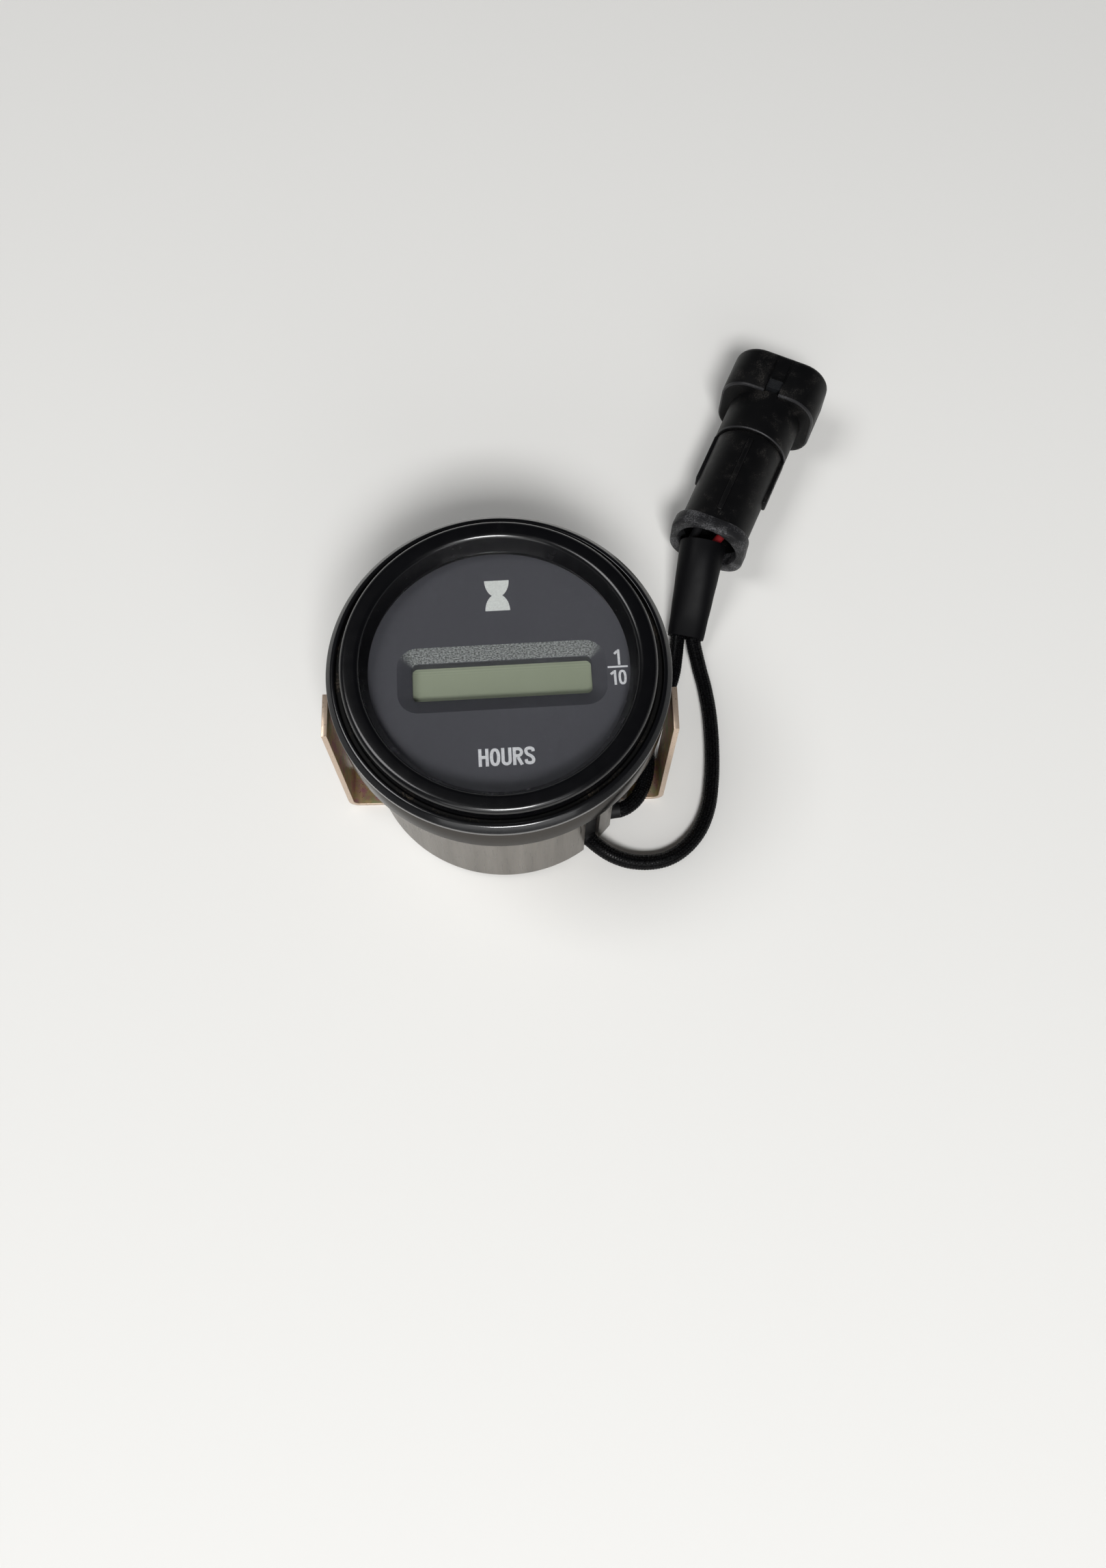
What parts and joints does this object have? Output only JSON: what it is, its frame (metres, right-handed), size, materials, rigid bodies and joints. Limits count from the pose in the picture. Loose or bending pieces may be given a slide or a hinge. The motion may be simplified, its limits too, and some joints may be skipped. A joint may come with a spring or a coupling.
{
  "type": "hour meter",
  "caption": "Round panel hour meter with a display window in a grey dial, a raised black bezel, a stepped steel case, a U clamp and a lead pair that ends in a sealed plug.",
  "frame": {"origin": "on the surface that the meter stands on, under the middle of the case", "axes": "+Z out of the dial, along the case's axis; +Y towards the top of the dial; +X to the dial's right"},
  "size_m": [0.1032, 0.1123, 0.0442],
  "materials": {
    "stainless_case": "drawn stainless sheet, brushed upwards on the body, polished on the flange",
    "rim_black": "satin black coat",
    "bezel_black": "satin moulded",
    "rubber_black": "matte",
    "lens_clear": "clear, polished",
    "dial_grey": "fine moulded grain, white print",
    "moulded_white": "moulded",
    "lcd_olive": "display glass with polariser, olive grey",
    "reflector_film": "matte foil",
    "contact_rubber": "striped silicone",
    "board_green": "solder mask on glass laminate",
    "chip_black": "moulded epoxy",
    "plated_steel": "bright plated",
    "capacitor_sleeve": "shrunk film",
    "cup_grey": "moulded",
    "wire_red": "extruded insulation",
    "zinc_yellow": "zinc plated, yellow passivated with a faint rainbow",
    "sleeve_black": "braided or ribbed sleeve",
    "heat_shrink_black": "shrunk sleeve, soft sheen",
    "plug_black": "moulded nylon",
    "lock_grey": "moulded",
    "seal_red": "silicone",
    "terminal_brass": "tin flashed"
  },
  "bodies": {
    "root": {"case": "stainless_case", "rim": "rim_black", "bezel_seal": "rubber_black", "bezel_ring": "bezel_black", "lens": "lens_clear", "lens_gasket": "rubber_black", "dial_plate": "dial_grey", "spacer_ring": "moulded_white", "lcd_cell": "lcd_olive", "lcd_reflector": "reflector_film", "zebra_strips": "contact_rubber", "lcd_holder": "moulded_white", "circuit_board": "board_green", "controller_chip": "chip_black", "memory_chip": "chip_black", "crystal": "plated_steel", "capacitor": "capacitor_sleeve", "regulator": "chip_black", "board_screws": "plated_steel", "module_cup": "cup_grey", "lead_seal": "rubber_black", "inner_wires": "wire_red", "clamp_bracket": "zinc_yellow", "clamp_screws": "zinc_yellow", "weld_nuts": "plated_steel", "lead_1": "sleeve_black", "lead_2": "sleeve_black", "heat_shrink": "heat_shrink_black", "connector_housing": "plug_black", "lock_tab": "lock_grey", "wire_seals": "seal_red", "terminal_pins": "terminal_brass", "red_wire": "wire_red", "black_wire": "sleeve_black"}
  },
  "joints": []
}
